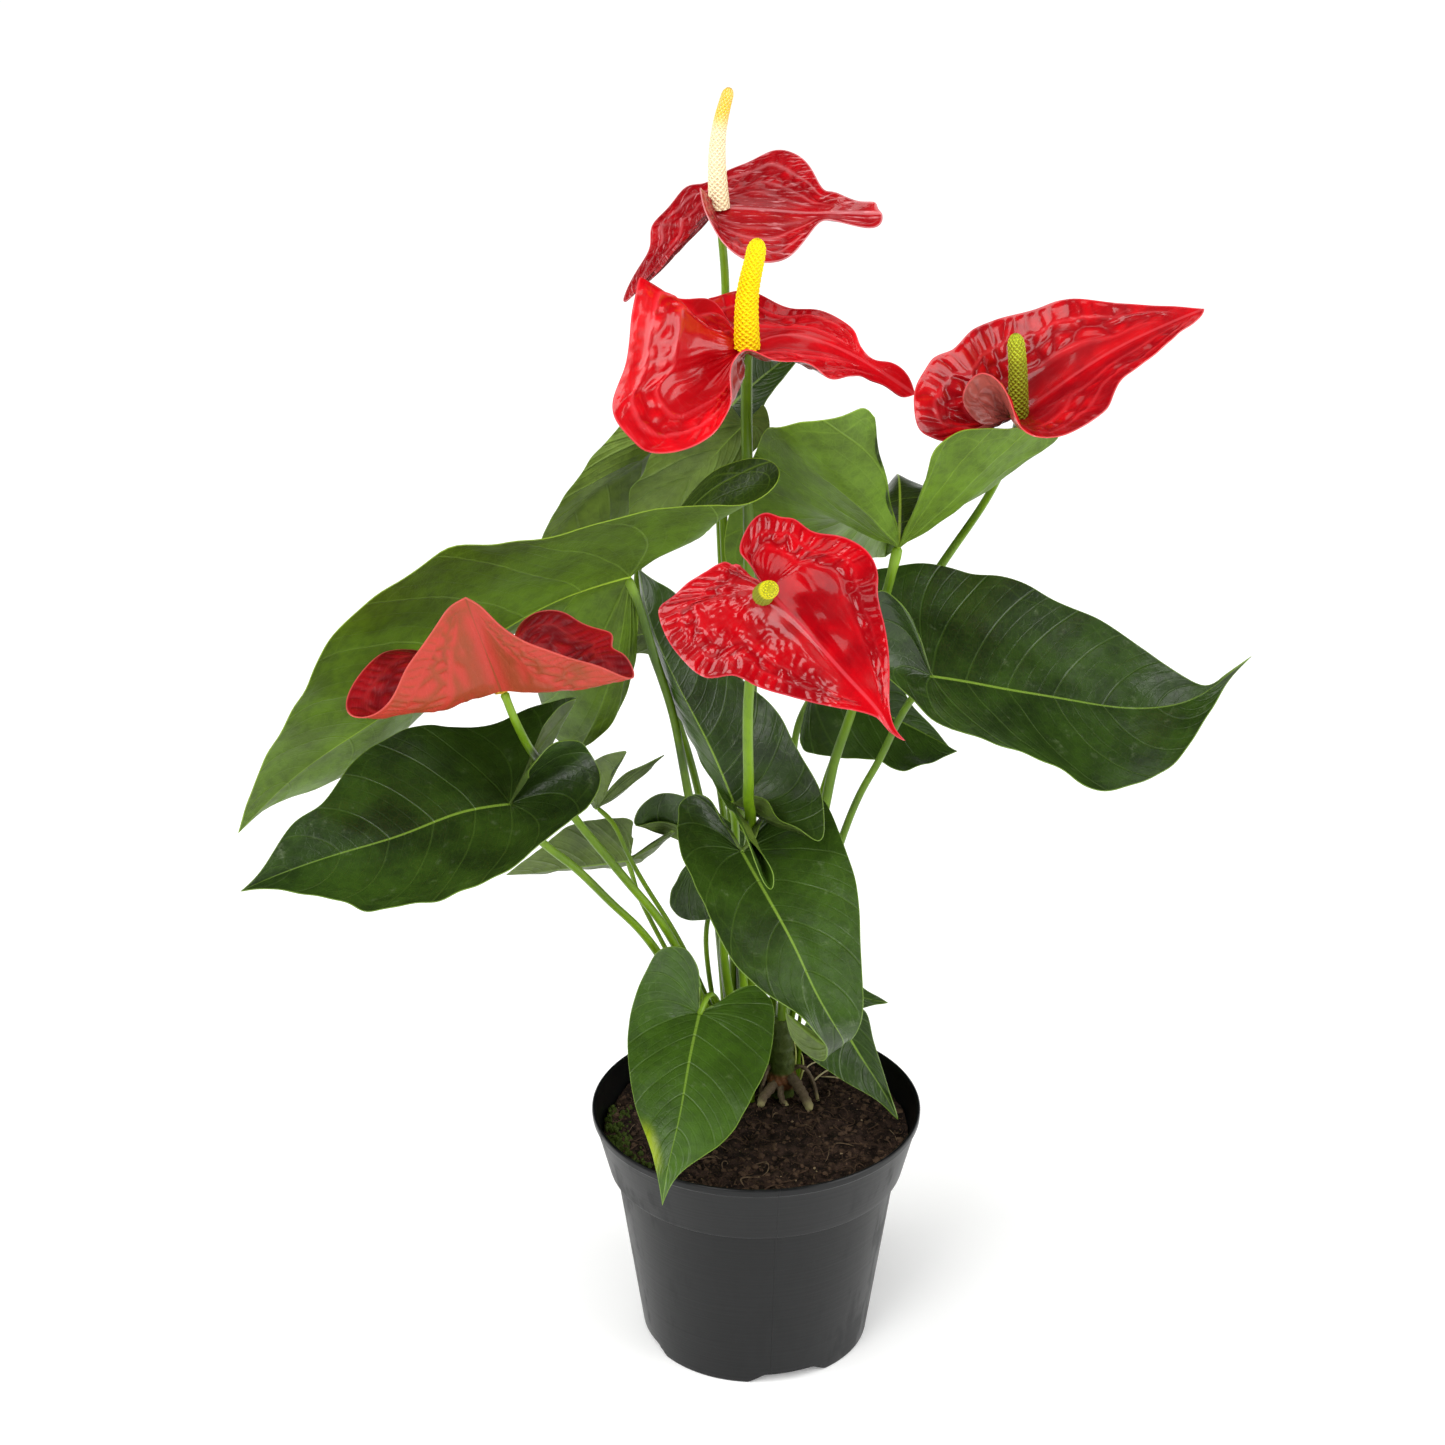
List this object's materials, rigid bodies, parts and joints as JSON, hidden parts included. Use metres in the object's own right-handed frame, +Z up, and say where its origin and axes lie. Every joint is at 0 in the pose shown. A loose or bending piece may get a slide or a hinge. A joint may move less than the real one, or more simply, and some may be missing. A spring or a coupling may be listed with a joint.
{
  "type": "potted anthurium",
  "caption": "Flowering anthurium with glossy red spathes and heart-shaped leaves on long stalks, rooted in dark peat in a plain black grow pot.",
  "frame": {"origin": "centre of the pot's flat bottom, on the pot's axis, at the plane that it stands on", "axes": "+Z up along the pot's axis, -Y towards the front of the plant, +X to the right seen from the front"},
  "size_m": [0.4914, 0.2848, 0.6542],
  "materials": {
    "charcoal_plastic": "satin charcoal",
    "peat": "rough, loose peat",
    "stem": "smooth living stem",
    "leaf": "semi-gloss leaf",
    "leaf_light": "semi-gloss leaf, light underside",
    "spathe": "waxy gloss",
    "spadix": "fine-grained, satin"
  },
  "bodies": {
    "root": {"pot": "charcoal_plastic", "soil": "peat", "crown": "stem", "leaf_left_high": "leaf_light", "leaf_left_low": "leaf", "leaf_front_low": "leaf", "leaf_front_mid": "leaf", "leaf_centre": "leaf", "leaf_right": "leaf", "leaf_right_high": "leaf_light", "leaf_right_back": "leaf", "leaf_back_left": "leaf", "leaf_back_centre": "leaf", "leaf_back_high": "leaf", "leaf_small_left": "leaf", "leaf_small_low_left": "leaf", "leaf_low_back": "leaf", "leaf_low_right": "leaf", "leaf_low_right_back": "leaf", "leaf_back_left_low": "leaf", "spathe_top": "spathe", "spadix_top": "spadix", "peduncle_top": "stem", "spathe_centre": "spathe", "spadix_centre": "spadix", "peduncle_centre": "stem", "spathe_right": "spathe", "spadix_right": "spadix", "peduncle_right": "stem", "spathe_front": "spathe", "spadix_front": "spadix", "peduncle_front": "stem", "spathe_left": "spathe", "spadix_left": "spadix", "peduncle_left": "stem"}
  },
  "joints": []
}
